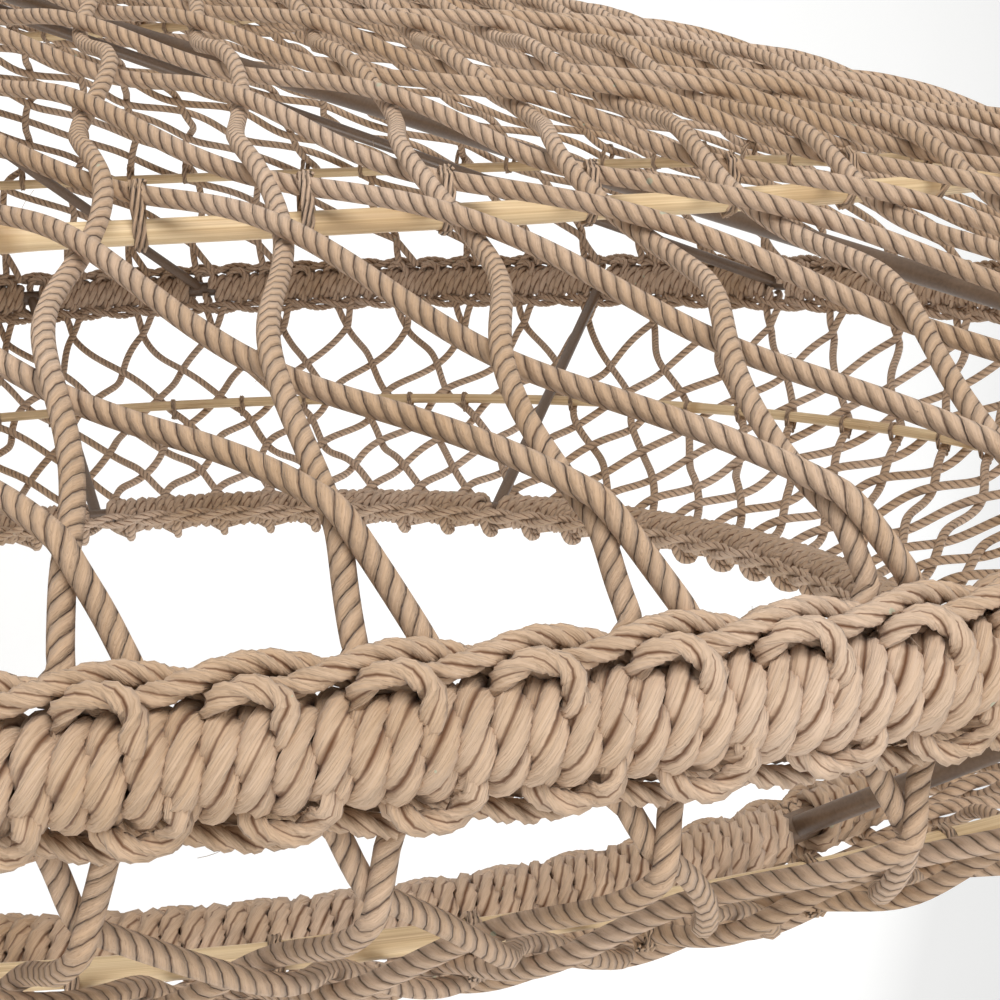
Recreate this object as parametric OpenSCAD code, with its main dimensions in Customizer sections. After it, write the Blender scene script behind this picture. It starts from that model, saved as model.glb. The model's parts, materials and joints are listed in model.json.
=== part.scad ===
// Hanging egg chair: an egg-shaped steel hoop wound with twisted paper cord, a deep diamond net behind
// it, a shallow net in front of it round the mouth, rattan hoops inside the nets, and a swivel hanger.
// Origin at the centre of the hanging eye, +Z up, the mouth of the chair faces -Y.

/* [Main hoop] */
// Radius of the round lower half of the main hoop, to the rod's centre line
hoop_low_r = 540; // [480:5:600]
// Radius of the two long side arcs of the main hoop
hoop_side_r = 620; // [610:5:700]
// Radius of the arc over the top of the main hoop
hoop_top_r = 400; // [340:5:460]
// Diameter of the steel rod of the main hoop and of the mouth hoop
rod_d = 10; // [8:0.5:14]

/* [Cord] */
// Diameter of the twisted paper cord
cord_d = 5.5; // [4.5:0.25:7]
// Bare stretch of rod left for the hanger bracket, to each side of the middle, in degrees
bare_half_angle = 4.6; // [4.2:0.1:7]

/* [Shells] */
// Depth of the net behind the hoop, where its lines would meet
back_depth = 260; // [220:5:320]
// Depth of the net in front of the hoop, where its lines would meet
front_depth = 218; // [180:5:260]
// How far the back of the chair sags below the middle of the hoop
back_drop = 380; // [340:5:400]
// How far the mouth is raised above the middle of the hoop, where its lines would meet
mouth_rise = 75; // [40:5:100]
// Size of the mouth as a share of the main hoop
mouth_share = 0.6; // [0.56:0.01:0.66]
// Size of the back ring as a share of the main hoop
ring_share = 0.13; // [0.11:0.01:0.16]
// Cords of the net round the hoop, in each of its two directions
net_round = 24; // [20:1:26]
// Rows of crossings in the back net
back_rows = 6; // [5:1:7]
// Rows of crossings in the front net
front_rows = 3; // [2:1:4]

/* [Rattan hoops] */
// Diameter of the rattan poles
rattan_d = 7; // [6:0.5:9]
// Size of the first rattan hoop behind the main hoop, and of the one in front, as a share of it
rattan_share = 0.85; // [0.8:0.01:0.88]
// Size of the rattan hoop in the middle of the back, as a share of the main hoop
rattan_mid_share = 0.5; // [0.42:0.01:0.58]

/* [Ribs] */
// Diameter of the steel ribs behind and the stays in front
rib_d = 7; // [6:0.5:9]
// Diameter of the rod of the back ring
ring_rod_d = 8; // [6:0.5:10]

/* [Hanger] */
// Bore of the hanging eye
eye_bore_d = 24; // [20:1:28]
// Thickness of the hanging eye
eye_t = 16; // [12:1:20]
// Width of the steel round the bore of the hanging eye
eye_wall = 12; // [9:1:15]
// Diameter of the swivel's shank
shank_d = 12; // [10:1:14]
// Diameter of the two hanger bolts
bolt_d = 10; // [8:1:12]
// Thickness of the bushes in the hanger link
bush_t = 3; // [2:0.5:4]
// Length of each barrel of the hanger link
barrel_l = 30; // [26:1:36]
// Distance between the two barrels of the hanger link
link_l = 50; // [46:1:70]
// Thickness of the stirrup's top plate
stirrup_t = 12; // [10:1:16]
// Thickness of each arm of the stirrup
arm_t = 8; // [6:1:10]
// Height of the stirrup from its top plate to its bolt
stirrup_l = 60; // [54:1:80]
// Thickness of each plate of the hoop bracket
plate_t = 6; // [5:1:8]
// Height of the hoop bracket from its bolt to the hoop's rod
bracket_l = 48; // [42:1:70]
// Distance of the hoop's plane in front of the hanging eye, which hangs the chair level
hang_offset = 2; // [0:1:60]

/* [Hidden] */
round_fn = 96;
small_fn = 48;

// Clearances
touch = 0.1;          // between pieces that lie on each other
fit = 0.05;           // a turning fit, on the radius
play = 1;             // beside a barrel that turns between two plates
lay = 0.3;            // between a net and what carries it
net_lean = 2.3;       // reach of a net's first row towards the hoop's plane, since it leans
weld = 0.01;          // half the seam between two bent lengths of a hoop
rib_room = 13;        // half of the stretch where a winding parts round a rib or a stay
cut_in_back = 2.2;    // what the straight cords of a coarse net cut inside the curved shell, where
cut_in_middle = 0;    // each rattan hoop lies
cut_in_front = -0.4;

// Colours
steel_brown = [0.40, 0.32, 0.25];
zinc = [0.72, 0.73, 0.74];
bronze = [0.72, 0.55, 0.30];
cord_tan = [0.76, 0.66, 0.52];
net_tan = [0.70, 0.58, 0.44];
straw = [0.84, 0.75, 0.62];

// Hanger levels, from the eye down
eye_r = eye_bore_d / 2 + eye_wall;
flange_t = 4;
flange_z = -eye_r - 16;
stirrup_z = flange_z - lay;
washer_t = 2.5;
washer_z = stirrup_z - stirrup_t - lay;
shank_nut_t = 10;
shank_nut_z = washer_z - washer_t - touch;
shank_end_z = shank_nut_z - shank_nut_t - 4;
bolt_z = stirrup_z - stirrup_l;
link_bolt_z = bolt_z - link_l;
hoop_top_z = link_bolt_z - bracket_l;
barrel_r = bolt_d / 2 + bush_t + 6;
arm_y = barrel_l / 2 + play;
plate_x = barrel_l / 2 + play;

// The egg outline of the hoop: a half circle below, two side arcs, and an arc over the top
side_shift = hoop_side_r - hoop_low_r;
top_centre = sqrt(pow(hoop_side_r - hoop_top_r, 2) - pow(side_shift, 2));
side_angle = atan2(top_centre, side_shift);
hoop_z = hoop_top_z - top_centre - hoop_top_r;
hoop_y = -hang_offset;

// Lengths of the outline's arcs, for even steps round it
side_len = hoop_side_r * side_angle * PI / 180;
top_len = hoop_top_r * (180 - 2 * side_angle) * PI / 180;
low_len = hoop_low_r * PI;
round_len = 2 * side_len + top_len + low_len;

// Sections through the wound hoop
wrap_r = rod_d / 2 + cord_d;
border_r = cord_d;
border_y = wrap_r + border_r + touch;
border_in = -2;
bare_gap = [90, bare_half_angle];
net_t = cord_d;
net_w = cord_d;
net_start = border_y + border_r + lay + net_lean;
ring_wrap_r = ring_rod_d / 2 + cord_d;

// Shape of the two shells: share of the hoop's outline against depth
bulge = 1.3;
drop_power = 0.85;
row_easing = 0.92;    // draws the rows of the back net together towards the ring
rib_angles = [4, 90, 176, 222, 318];
stay_angles = [78, 102, 190, 235, 305, 350];

function depth(share, full) =
  net_start + (full - net_start) * pow(max(0, 1 - pow(share, bulge)), 1 / bulge);
function back_y(share) = depth(share, back_depth);
function front_y(share) = -depth(share, front_depth);
function back_shift(share) = -back_drop * pow(1 - share, drop_power);
function front_shift(share) = mouth_rise * (1 - share);
function shell_y(share, side) = side > 0 ? back_y(share) : front_y(share);
function shell_shift(share, side) = side > 0 ? back_shift(share) : front_shift(share);

// Shares of the hoop's size at which the net's rows of crossings lie
back_levels = [for (j = [0:back_rows]) 1 - (1 - ring_share) * pow(j / back_rows, row_easing)];
front_levels = [for (j = [0:front_rows]) 1 - (1 - mouth_share) * j / front_rows];

// Slope of a net across its last row, where its shift draws the rows closest together
function last_slope(levels, side) =
  let (n = len(levels), a = levels[n - 1], b = levels[n - 2])
  atan2(
    abs(shell_y(a, side) - shell_y(b, side)),
    hoop_low_r * (b - a) - abs(shell_shift(b, side) - shell_shift(a, side))
  );

// Planes of the mouth hoop and of the back ring, whose windings lie against the sloping nets
mouth_y = front_y(mouth_share) + (wrap_r + net_t / 2 + lay) / cos(last_slope(front_levels, -1));
ring_y = back_y(ring_share) - (ring_wrap_r + net_t / 2 + 2 * lay) / cos(last_slope(back_levels, 1));

// Point of the full-size outline at a length along it, from the right-hand side over the top
function arc_point(x, z, r, a) = [x + r * cos(a), z + r * sin(a)];
function outline(len) =
  let (l = len - floor(len / round_len) * round_len)
  l < side_len ? arc_point(-side_shift, 0, hoop_side_r, l / hoop_side_r * 180 / PI)
  : l < side_len + top_len
    ? arc_point(0, top_centre, hoop_top_r, side_angle + (l - side_len) / hoop_top_r * 180 / PI)
  : l < 2 * side_len + top_len
    ? arc_point(side_shift, 0, hoop_side_r,
        180 - side_angle + (l - side_len - top_len) / hoop_side_r * 180 / PI)
  : arc_point(0, 0, hoop_low_r, 180 + (l - 2 * side_len - top_len) / hoop_low_r * 180 / PI);

// Point of the full-size outline in a direction given by the angle of its own arc
function outline_at(a) =
  a < side_angle ? arc_point(-side_shift, 0, hoop_side_r, a)
  : a < 180 - side_angle ? arc_point(0, top_centre, hoop_top_r, a)
  : a < 180 ? arc_point(side_shift, 0, hoop_side_r, a)
  : arc_point(0, 0, hoop_low_r, a);

// Point of a shell at a length along the outline and a share of the hoop's size
function shell(len, share, side) =
  let (p = outline(len))
  [p[0] * share, shell_y(share, side), p[1] * share + shell_shift(share, side)];
function unit(v) = v / norm(v);
function shell_normal(len, share, side) =
  let (
    e = 0.004,
    s = min(share, 1 - e),
    along = shell(len + 2, s, side) - shell(len - 2, s, side),
    inward = shell(len, s - e, side) - shell(len, s + e, side)
  )
  unit(cross(inward, along)) * side;

// ---------------------------------------------------------------- building blocks

// One arc of a hoop in the XZ plane, with the section given as a child
module hoop_arc(r, from, to)
  rotate([90, 0, 0]) rotate([0, 0, from])
    rotate_extrude(angle = to - from, $fn = round_fn) translate([r, 0]) children();

// The lengths that an arc falls into between its ends and the gaps that lie on it
module cut_arc(r, from, to, gaps) {
  seam = weld / r * 180 / PI;
  on_it = [for (g = gaps, turn = [0, 360]) if (g[0] + turn + g[1] > from && g[0] + turn - g[1] < to) g + [turn, 0]];
  starts = concat([from + seam], [for (g = on_it) g[0] + g[1]]);
  stops = concat([for (g = on_it) g[0] - g[1]], [to - seam]);
  for (k = [0:len(starts) - 1])
    if (stops[k] > starts[k]) hoop_arc(r, starts[k], stops[k]) children();
}

// A whole egg hoop of four bent lengths: a share of the main outline, grown by a distance.
// Each gap is the angle of its middle and its half width in degrees.
module egg(share, grow, gaps = []) {
  shift = side_shift * share;
  cut_arc(hoop_low_r * share + grow, 180, 360, gaps) children();
  translate([-shift, 0, 0]) cut_arc(hoop_side_r * share + grow, 0, side_angle, gaps) children();
  translate([shift, 0, 0]) cut_arc(hoop_side_r * share + grow, 180 - side_angle, 180, gaps) children();
  translate([0, 0, top_centre * share])
    cut_arc(hoop_top_r * share + grow, side_angle, 180 - side_angle, gaps) children();
}

// Gap in a winding of a hoop of this share where a rib or a stay leaves its rod
function rib_gap(angle, share) = [angle, rib_room / (hoop_top_r * share) * 180 / PI];

module disc(r) circle(r, $fn = small_fn);

module sleeve(r_in, r_out) difference() {
  circle(r_out, $fn = small_fn);
  circle(r_in, $fn = small_fn);
}

// Moves from the hoop's own centre to its place under the hanger
module on_hoop(y = 0, z = 0) translate([0, hoop_y + y, hoop_z + z]) children();

// A straight rod from one point to another
module rod(a, b, r) {
  v = b - a;
  translate(a) rotate([0, acos(v[2] / norm(v)), atan2(v[1], v[0])])
    cylinder(h = norm(v), r = r, $fn = small_fn);
}

// A hexagon bolt head or nut about the Z axis, width across the flats 1.7 times the thread
module hexagon(d, h) cylinder(h = h, r = d * 0.85 / cos(30), $fn = 6);

// A diamond net over a shell as one closed solid: every cell is a frame round its own gap
module net(levels, side) {
  rows = len(levels) - 1;
  step = round_len / net_round;
  knots = [
    for (j = [0:rows]) for (i = [0:net_round - 1])
      let (l = (i + (j % 2) / 2) * step)
      [shell(l, levels[j], side), shell_normal(l, levels[j], side)]
  ];
  function knot(j, i) = j * net_round + (i + net_round) % net_round;
  // corners of each cell, anticlockwise seen from outside the back
  diamonds = [
    for (j = [0:rows - 2]) for (i = [0:net_round - 1])
      let (odd = j % 2)
      [knot(j, i), knot(j + 1, i + odd), knot(j + 2, i), knot(j + 1, i + odd - 1)]
  ];
  first = [for (i = [0:net_round - 1]) [knot(0, i), knot(0, i + 1), knot(1, i)]];
  odd_end = rows % 2;
  last = [
    for (i = [0:net_round - 1])
      [knot(rows, i), knot(rows - 1, i + odd_end), knot(rows, i + 1)]
  ];
  cells = concat(diamonds, first, last);
  function centre(c) = let (n = len(c)) [
    for (k = [0, 1]) [for (x = [0:2]) vsum([for (q = c) knots[q][k][x]]) / n]
  ];
  function edge_gap(m, a, b) = norm(cross(m - a, b - a)) / norm(b - a);
  function inset(c, m) = let (n = len(c))
    net_w / 2 / min([for (k = [0:n - 1]) edge_gap(m, knots[c[k]][0], knots[c[(k + 1) % n]][0])]);
  holes = [
    for (c = cells) let (m = centre(c), f = inset(c, m[0]))
      [for (q = c) [knots[q][0] + (m[0] - knots[q][0]) * f, unit(knots[q][1] + (m[1] - knots[q][1]) * f)]]
  ];
  starts = [for (n = 0, s = len(knots); n < len(cells); s = s + len(cells[n]), n = n + 1) s];
  flat = concat(knots, [for (h = holes) for (q = h) q]);
  points = [for (q = flat) for (s = [1, -1]) q[0] + s * q[1] * net_t / 2];
  skin = [
    for (n = [0:len(cells) - 1]) let (c = cells[n], m = len(c), s = starts[n])
      for (k = [0:m - 1]) let (
        a = c[k], b = c[(k + 1) % m], e = s + k, f = s + (k + 1) % m,
        quads = [
          [2 * a, 2 * b, 2 * f, 2 * e],
          [2 * b + 1, 2 * a + 1, 2 * e + 1, 2 * f + 1],
          [2 * e, 2 * f, 2 * f + 1, 2 * e + 1]
        ]
      ) each quads
  ];
  rims = [
    for (i = [0:net_round - 1]) each [
      let (a = knot(0, i), b = knot(0, i + 1)) [2 * b, 2 * a, 2 * a + 1, 2 * b + 1],
      let (a = knot(rows, i), b = knot(rows, i + 1)) [2 * a, 2 * b, 2 * b + 1, 2 * a + 1]
    ]
  ];
  faces = [for (q = concat(skin, rims)) each [[q[0], q[1], q[2]], [q[0], q[2], q[3]]]];
  turned = side > 0 ? faces : [for (f = faces) [f[2], f[1], f[0]]];
  polyhedron(points = points, faces = turned, convexity = 12);
}
function vsum(v, i = 0) = i < len(v) ? v[i] + vsum(v, i + 1) : 0;

// ---------------------------------------------------------------- hanger

module swivel_eye() color(zinc) difference() {
  union() {
    rotate([90, 0, 0]) cylinder(h = eye_t, r = eye_r, center = true, $fn = round_fn);
    translate([0, 0, flange_z + flange_t]) cylinder(h = -flange_z - flange_t - eye_r + 4, r = eye_t / 2 - 1,
      $fn = small_fn);
    translate([0, 0, flange_z]) cylinder(h = flange_t, r = shank_d / 2 + 8, $fn = small_fn);
    translate([0, 0, shank_end_z]) cylinder(h = flange_z - shank_end_z, r = shank_d / 2, $fn = small_fn);
  }
  rotate([90, 0, 0]) cylinder(h = eye_t + 2, r = eye_bore_d / 2, center = true, $fn = round_fn);
}

module thrust_washer() color(bronze) translate([0, 0, washer_z - washer_t]) difference() {
  cylinder(h = washer_t, r = shank_d / 2 + 6, $fn = small_fn);
  translate([0, 0, -1]) cylinder(h = washer_t + 2, r = shank_d / 2 + touch, $fn = small_fn);
}

module swivel_nut() color(zinc) translate([0, 0, shank_nut_z - shank_nut_t]) difference() {
  hexagon(shank_d, shank_nut_t);
  translate([0, 0, -1]) cylinder(h = shank_nut_t + 2, r = shank_d / 2 + 0.02, $fn = small_fn);
}

module swivel_stirrup() color(steel_brown) difference() {
  arm_out = arm_y + arm_t;
  union() {
    translate([-barrel_r, -arm_out, stirrup_z - stirrup_t])
      cube([2 * barrel_r, 2 * arm_out, stirrup_t]);
    for (s = [-1, 1]) {
      translate([-barrel_r, s * (arm_y + arm_t / 2) - arm_t / 2, bolt_z])
        cube([2 * barrel_r, arm_t, stirrup_l - stirrup_t / 2]);
      translate([0, s * (arm_y + arm_t / 2), bolt_z]) rotate([90, 0, 0])
        cylinder(h = arm_t, r = barrel_r, center = true, $fn = small_fn);
    }
  }
  translate([0, 0, stirrup_z - stirrup_t - 1])
    cylinder(h = stirrup_t + 2, r = shank_d / 2 + fit, $fn = small_fn);
  translate([0, 0, bolt_z]) rotate([90, 0, 0])
    cylinder(h = 2 * arm_out + 2, r = bolt_d / 2 + touch, center = true, $fn = small_fn);
}

// A hexagon bolt along Z, its head at the top and its thread long enough for the nut
module bolt(grip) {
  translate([0, 0, grip / 2 + touch]) hexagon(bolt_d, bolt_d * 0.65);
  translate([0, 0, -grip / 2 - bolt_d * 1.1]) cylinder(h = grip + bolt_d * 1.1 + 1, r = bolt_d / 2, $fn = small_fn);
}

module bolt_nut(grip) translate([0, 0, -grip / 2 - touch - bolt_d * 0.9]) difference() {
  hexagon(bolt_d, bolt_d * 0.9);
  translate([0, 0, -1]) cylinder(h = bolt_d * 0.9 + 2, r = bolt_d / 2 + 0.02, $fn = small_fn);
}

module at_stirrup_bolt() translate([0, 0, bolt_z]) rotate([90, 0, 0]) children();
module at_bracket_bolt() translate([0, 0, link_bolt_z]) rotate([0, 90, 0]) children();

module stirrup_bolt() color(zinc) at_stirrup_bolt() bolt(2 * (arm_y + arm_t));
module stirrup_bolt_nut() color(zinc) at_stirrup_bolt() bolt_nut(2 * (arm_y + arm_t));
module bracket_bolt() color(zinc) at_bracket_bolt() bolt(2 * (plate_x + plate_t));
module bracket_bolt_nut() color(zinc) at_bracket_bolt() bolt_nut(2 * (plate_x + plate_t));

module hanger_link() color(steel_brown) difference() {
  union() {
    at_stirrup_bolt() cylinder(h = barrel_l, r = barrel_r, center = true, $fn = small_fn);
    at_bracket_bolt() cylinder(h = barrel_l, r = barrel_r, center = true, $fn = small_fn);
    translate([-barrel_r + 5, -barrel_r + 5, link_bolt_z])
      cube([2 * barrel_r - 10, 2 * barrel_r - 10, link_l]);
  }
  at_stirrup_bolt() cylinder(h = barrel_l + 2, r = bolt_d / 2 + bush_t + touch, center = true, $fn = small_fn);
  at_bracket_bolt() cylinder(h = barrel_l + 2, r = bolt_d / 2 + bush_t + touch, center = true, $fn = small_fn);
}

module bush() difference() {
  cylinder(h = barrel_l, r = bolt_d / 2 + bush_t, center = true, $fn = small_fn);
  cylinder(h = barrel_l + 2, r = bolt_d / 2 + fit, center = true, $fn = small_fn);
}
module upper_bush() color(bronze) at_stirrup_bolt() bush();
module lower_bush() color(bronze) at_bracket_bolt() bush();

// Two plates from the hanger's bolt down to the hoop's rod, which passes through both
module hoop_bracket() color(steel_brown) {
  span = norm([hoop_y, bracket_l]);
  for (s = [-1, 1]) translate([s * (plate_x + plate_t / 2), 0, link_bolt_z])
    rotate([180 + atan2(hoop_y, bracket_l), 0, 0]) difference() {
      rotate([0, 90, 0]) union() {
        cylinder(h = plate_t, r = barrel_r, center = true, $fn = small_fn);
        translate([-span, 0, 0]) cylinder(h = plate_t, r = barrel_r, center = true, $fn = small_fn);
        translate([-span, -barrel_r, -plate_t / 2]) cube([span, 2 * barrel_r, plate_t]);
      }
      rotate([0, 90, 0]) cylinder(h = plate_t + 2, r = bolt_d / 2 + touch, center = true, $fn = small_fn);
      translate([0, 0, span]) rotate([0, 90, 0])
        cylinder(h = plate_t + 2, r = rod_d / 2 + 0.6, center = true, $fn = small_fn);
    }
}

// ---------------------------------------------------------------- steel frame

module main_hoop() color(steel_brown) on_hoop() egg(1, 0) disc(rod_d / 2);

module mouth_hoop_place() on_hoop(mouth_y, front_shift(mouth_share)) children();
module mouth_hoop() color(steel_brown) mouth_hoop_place() egg(mouth_share, 0) disc(rod_d / 2);

module back_ring_place() on_hoop(ring_y, back_shift(ring_share)) children();
module back_ring() color(steel_brown) back_ring_place() egg(ring_share, 0) disc(ring_rod_d / 2);

// Ends of a rib on the main hoop, on the back ring and on the mouth hoop
function on_main(a) = let (p = outline_at(a)) [p[0], hoop_y, p[1] + hoop_z];
function on_ring(a) = let (p = outline_at(a) * ring_share)
  [p[0], hoop_y + ring_y, p[1] + back_shift(ring_share) + hoop_z];
function on_mouth(a) = let (p = outline_at(a) * mouth_share)
  [p[0], hoop_y + mouth_y, p[1] + front_shift(mouth_share) + hoop_z];

// A short straight cutter along a hoop's rod where a rib meets it
module rod_cutter(p, a, r) translate(p) rotate([0, -a, 0]) cylinder(h = 60, r = r, center = true, $fn = small_fn);

module back_ribs() color(steel_brown) for (a = rib_angles) difference() {
  rod(on_main(a), on_ring(a), rib_d / 2);
  rod_cutter(on_main(a), a, rod_d / 2 + touch);
  rod_cutter(on_ring(a), a, ring_wrap_r + touch);
}

module front_stays() color(steel_brown) for (a = stay_angles) difference() {
  rod(on_main(a), on_mouth(a), rib_d / 2);
  rod_cutter(on_main(a), a, rod_d / 2 + touch);
  rod_cutter(on_mouth(a), a, rod_d / 2 + touch);
}

// ---------------------------------------------------------------- cord work

// The winding of the main hoop parts at the ribs, at the stays and under the bracket, where a rib ends too
function sorted(v) = len(v) < 2 ? v : concat(
  sorted([for (x = v) if (x < v[0]) x]), [v[0]], sorted([for (x = v) if (x > v[0]) x])
);
hoop_gaps = [
  for (a = sorted(concat(rib_angles, stay_angles))) a == bare_gap[0] ? bare_gap : rib_gap(a, 1)
];
module main_hoop_wrap() color(cord_tan) on_hoop() egg(1, 0, hoop_gaps) sleeve(rod_d / 2 + touch, wrap_r);

module mouth_hoop_wrap() color(cord_tan)
  mouth_hoop_place() egg(mouth_share, 0, [for (a = stay_angles) rib_gap(a, mouth_share)])
    sleeve(rod_d / 2 + touch, wrap_r);

module back_ring_wrap() color(cord_tan)
  back_ring_place() egg(ring_share, 0) sleeve(ring_rod_d / 2 + touch, ring_wrap_r);

// The twisted pair of cords that the net is hitched to, along the hoop's back and front
module back_border() color(cord_tan) on_hoop(border_y) egg(1, border_in, [bare_gap]) disc(border_r);
module front_border() color(cord_tan) on_hoop(-border_y) egg(1, border_in, [bare_gap]) disc(border_r);

// The pair along the inside of the mouth
module mouth_border() color(cord_tan) mouth_hoop_place()
  egg(mouth_share, -wrap_r - border_r - touch) disc(border_r);

module back_net() color(net_tan) on_hoop() net(back_levels, 1);
module front_net() color(net_tan) on_hoop() net(front_levels, -1);

// ---------------------------------------------------------------- rattan

// A hoop that lies inside a net, both inward and towards the hoop's plane by the two radii and by
// what the net's straight cords cut inside their curved surface there
module rattan_hoop(share, side, cut_in) {
  inside = net_t / 2 + rattan_d / 2 + cut_in;
  color(straw) on_hoop(shell_y(share, side) - side * inside, shell_shift(share, side))
    egg(share, -inside) disc(rattan_d / 2);
}

module rattan_hoop_back() rattan_hoop(rattan_share, 1, cut_in_back);
module rattan_hoop_middle() rattan_hoop(rattan_mid_share, 1, cut_in_middle);
module rattan_hoop_front() rattan_hoop(rattan_share, -1, cut_in_front);

// ---------------------------------------------------------------- output

swivel_eye();
thrust_washer();
swivel_nut();
swivel_stirrup();
stirrup_bolt();
stirrup_bolt_nut();
hanger_link();
upper_bush();
lower_bush();
hoop_bracket();
bracket_bolt();
bracket_bolt_nut();
main_hoop();
main_hoop_wrap();
back_border();
front_border();
back_ribs();
back_ring();
back_ring_wrap();
front_stays();
mouth_hoop();
mouth_hoop_wrap();
mouth_border();
rattan_hoop_back();
rattan_hoop_middle();
rattan_hoop_front();
back_net();
front_net();
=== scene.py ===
"""Looks of a hanging egg chair: twisted paper cord, diamond nets, rattan hoops and a lacquered steel frame."""
import json
import math

import bpy
import numpy as np
from mathutils import Matrix, Vector


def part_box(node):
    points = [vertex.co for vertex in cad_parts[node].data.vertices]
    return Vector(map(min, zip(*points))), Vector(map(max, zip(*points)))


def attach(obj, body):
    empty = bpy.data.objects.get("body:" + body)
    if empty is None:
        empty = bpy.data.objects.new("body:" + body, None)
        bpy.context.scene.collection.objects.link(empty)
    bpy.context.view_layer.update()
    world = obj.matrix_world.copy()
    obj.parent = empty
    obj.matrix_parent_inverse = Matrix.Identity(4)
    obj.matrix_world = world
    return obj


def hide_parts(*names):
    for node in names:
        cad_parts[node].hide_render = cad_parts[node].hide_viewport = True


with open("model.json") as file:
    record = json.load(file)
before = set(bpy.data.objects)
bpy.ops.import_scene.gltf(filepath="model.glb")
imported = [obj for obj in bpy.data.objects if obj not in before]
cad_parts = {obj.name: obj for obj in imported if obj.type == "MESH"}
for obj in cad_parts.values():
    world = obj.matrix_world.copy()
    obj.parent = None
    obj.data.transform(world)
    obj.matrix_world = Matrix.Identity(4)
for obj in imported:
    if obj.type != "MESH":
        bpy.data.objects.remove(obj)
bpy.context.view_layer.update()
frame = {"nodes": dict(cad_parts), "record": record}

bl_info = {
    "name": "Hanging egg chair",
    "version": (1, 0, 0),
    "blender": (4, 5, 0),
    "location": "3D View > Sidebar > Egg chair",
    "description": "Dresses the frame of a hanging egg chair with cord, nets and rattan",
    "category": "Object",
}

# ---------------------------------------------------------------- sizes

MM = 0.001
BODY = "chair"
BACK = 1
FRONT = -1
ZERO = (0.0, 0.0, 0.0)
UP_Y = (0.0, 1.0, 0.0)

# Sizes of the frame that its boxes don't give
ROD_D = 10 * MM
SIDE_R = 620 * MM
TOP_R = 400 * MM
NET_CORD_D = 5.5 * MM
BACK_DEPTH = 260 * MM
FRONT_DEPTH = 218 * MM
BACK_DROP = 380 * MM
MOUTH_RISE = 75 * MM
MOUTH_SHARE = 0.6
RING_SHARE = 0.13
BULGE = 1.3
DROP_POWER = 0.85
MOUTH_SHIFT = MOUTH_RISE * (1 - MOUTH_SHARE)
RING_SHIFT = -BACK_DROP * (1 - RING_SHARE) ** DROP_POWER

# Directions of the hoop's own arcs, in degrees, where steel ribs and stays leave the rod
BACK_RIBS = (4, 90, 176, 222, 318)
FRONT_STAYS = (78, 102, 190, 235, 305, 350)
TOP = 90

# Half of the stretch left bare under the hanger's bracket, in degrees, and beside each rib or stay
BARE_HALF = 4.6
BARE_AT_ROD = 8 * MM

# Places of the hoops, read from the frame
_low, _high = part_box("main_hoop")
LOW_R = (_high[0] - _low[0] - ROD_D) / 2
HOOP_Y = (_low[1] + _high[1]) / 2
HOOP_Z = _low[2] + LOW_R + ROD_D / 2
_mouth_low, _mouth_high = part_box("mouth_hoop")
MOUTH_Y = (_mouth_low[1] + _mouth_high[1]) / 2 - HOOP_Y
_ring_low, _ring_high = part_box("back_ring")
RING_Y = (_ring_low[1] + _ring_high[1]) / 2 - HOOP_Y
RING_ROD_D = _ring_high[1] - _ring_low[1]

WRAP_R = ROD_D / 2 + NET_CORD_D
RING_WRAP_R = RING_ROD_D / 2 + NET_CORD_D
BORDER_Y = WRAP_R + NET_CORD_D + 0.1 * MM
BORDER_IN = 2 * MM
NET_START = BORDER_Y + NET_CORD_D + 2.6 * MM

# How far the twisted pairs are drawn from the border's place towards the hoop
SEATED = 2.4 * MM

# The egg outline: a half circle below, two side arcs and an arc over the top
SIDE_SHIFT = SIDE_R - LOW_R
TOP_CENTRE = math.sqrt((SIDE_R - TOP_R) ** 2 - SIDE_SHIFT ** 2)
SIDE_ANGLE = math.atan2(TOP_CENTRE, SIDE_SHIFT)
SIDE_LEN = SIDE_R * SIDE_ANGLE
TOP_LEN = TOP_R * (math.pi - 2 * SIDE_ANGLE)
ROUND_LEN = 2 * SIDE_LEN + TOP_LEN + LOW_R * math.pi


def length_property(name, description, value):
    """A property for a length, its value given in millimetres."""
    return bpy.props.FloatProperty(name=name, description=description, default=value * MM, unit="LENGTH")


def colour_property(name, description, value):
    """A property for a colour."""
    return bpy.props.FloatVectorProperty(name=name, description=description, default=value, subtype="COLOR")


class ChairSizes(bpy.types.PropertyGroup):
    """Sizes that the cord work is made from"""
    cords_round: bpy.props.IntProperty(
        name="Cords round the hoop", description="Cords of a net in each of its two directions", default=72, min=20)
    back_rows: bpy.props.IntProperty(
        name="Back rows", description="Rows of crossings from the hoop to the back ring", default=28, min=6)
    front_rows: bpy.props.IntProperty(
        name="Front rows", description="Rows of crossings from the hoop to the mouth", default=8, min=3)
    net_cord: length_property("Net cord", "Diameter of the net's cord", 5.2)
    net_lay: length_property("Net cord lay", "Length of one turn of the net cord's plies", 12.5)
    wrap_cord: length_property("Wrap cord", "Width of the cord wound round the hoops", 7.8)
    wrap_lay: length_property("Wrap cord lay", "Length of one turn of the wrap cord's plies", 27)
    wrap_pitch: length_property("Wrap pitch", "Step from one turn round the hoop to the next", 6.0)
    border_cord: length_property("Border cord", "Diameter of each cord of the border pairs", 5.0)
    rattan: length_property("Rattan", "Diameter of the rattan poles", 7)


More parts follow.
